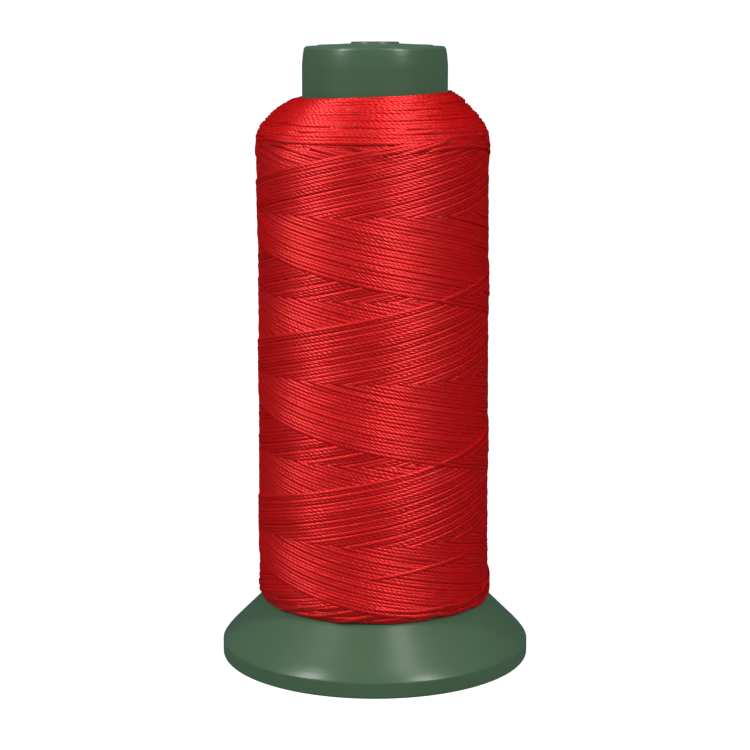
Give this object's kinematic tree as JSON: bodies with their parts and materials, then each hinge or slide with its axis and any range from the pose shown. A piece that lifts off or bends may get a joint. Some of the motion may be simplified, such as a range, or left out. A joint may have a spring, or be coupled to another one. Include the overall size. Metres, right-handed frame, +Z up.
{
  "type": "spool of nylon thread",
  "caption": "Cross-wound nylon thread on a hollow plastic core with a conical foot, a straight neck and a spindle hole through the top.",
  "frame": {"origin": "centre of the foot's lower face, on the surface that the spool stands on", "axes": "+Z up along the core's axis, -Y towards the front"},
  "size_m": [0.0762, 0.0762, 0.1511],
  "materials": {
    "core_plastic": "satin moulded",
    "thread": "lustrous twisted nylon filament"
  },
  "bodies": {
    "root": {"spool_core": "core_plastic", "thread_package": "thread"}
  },
  "joints": []
}
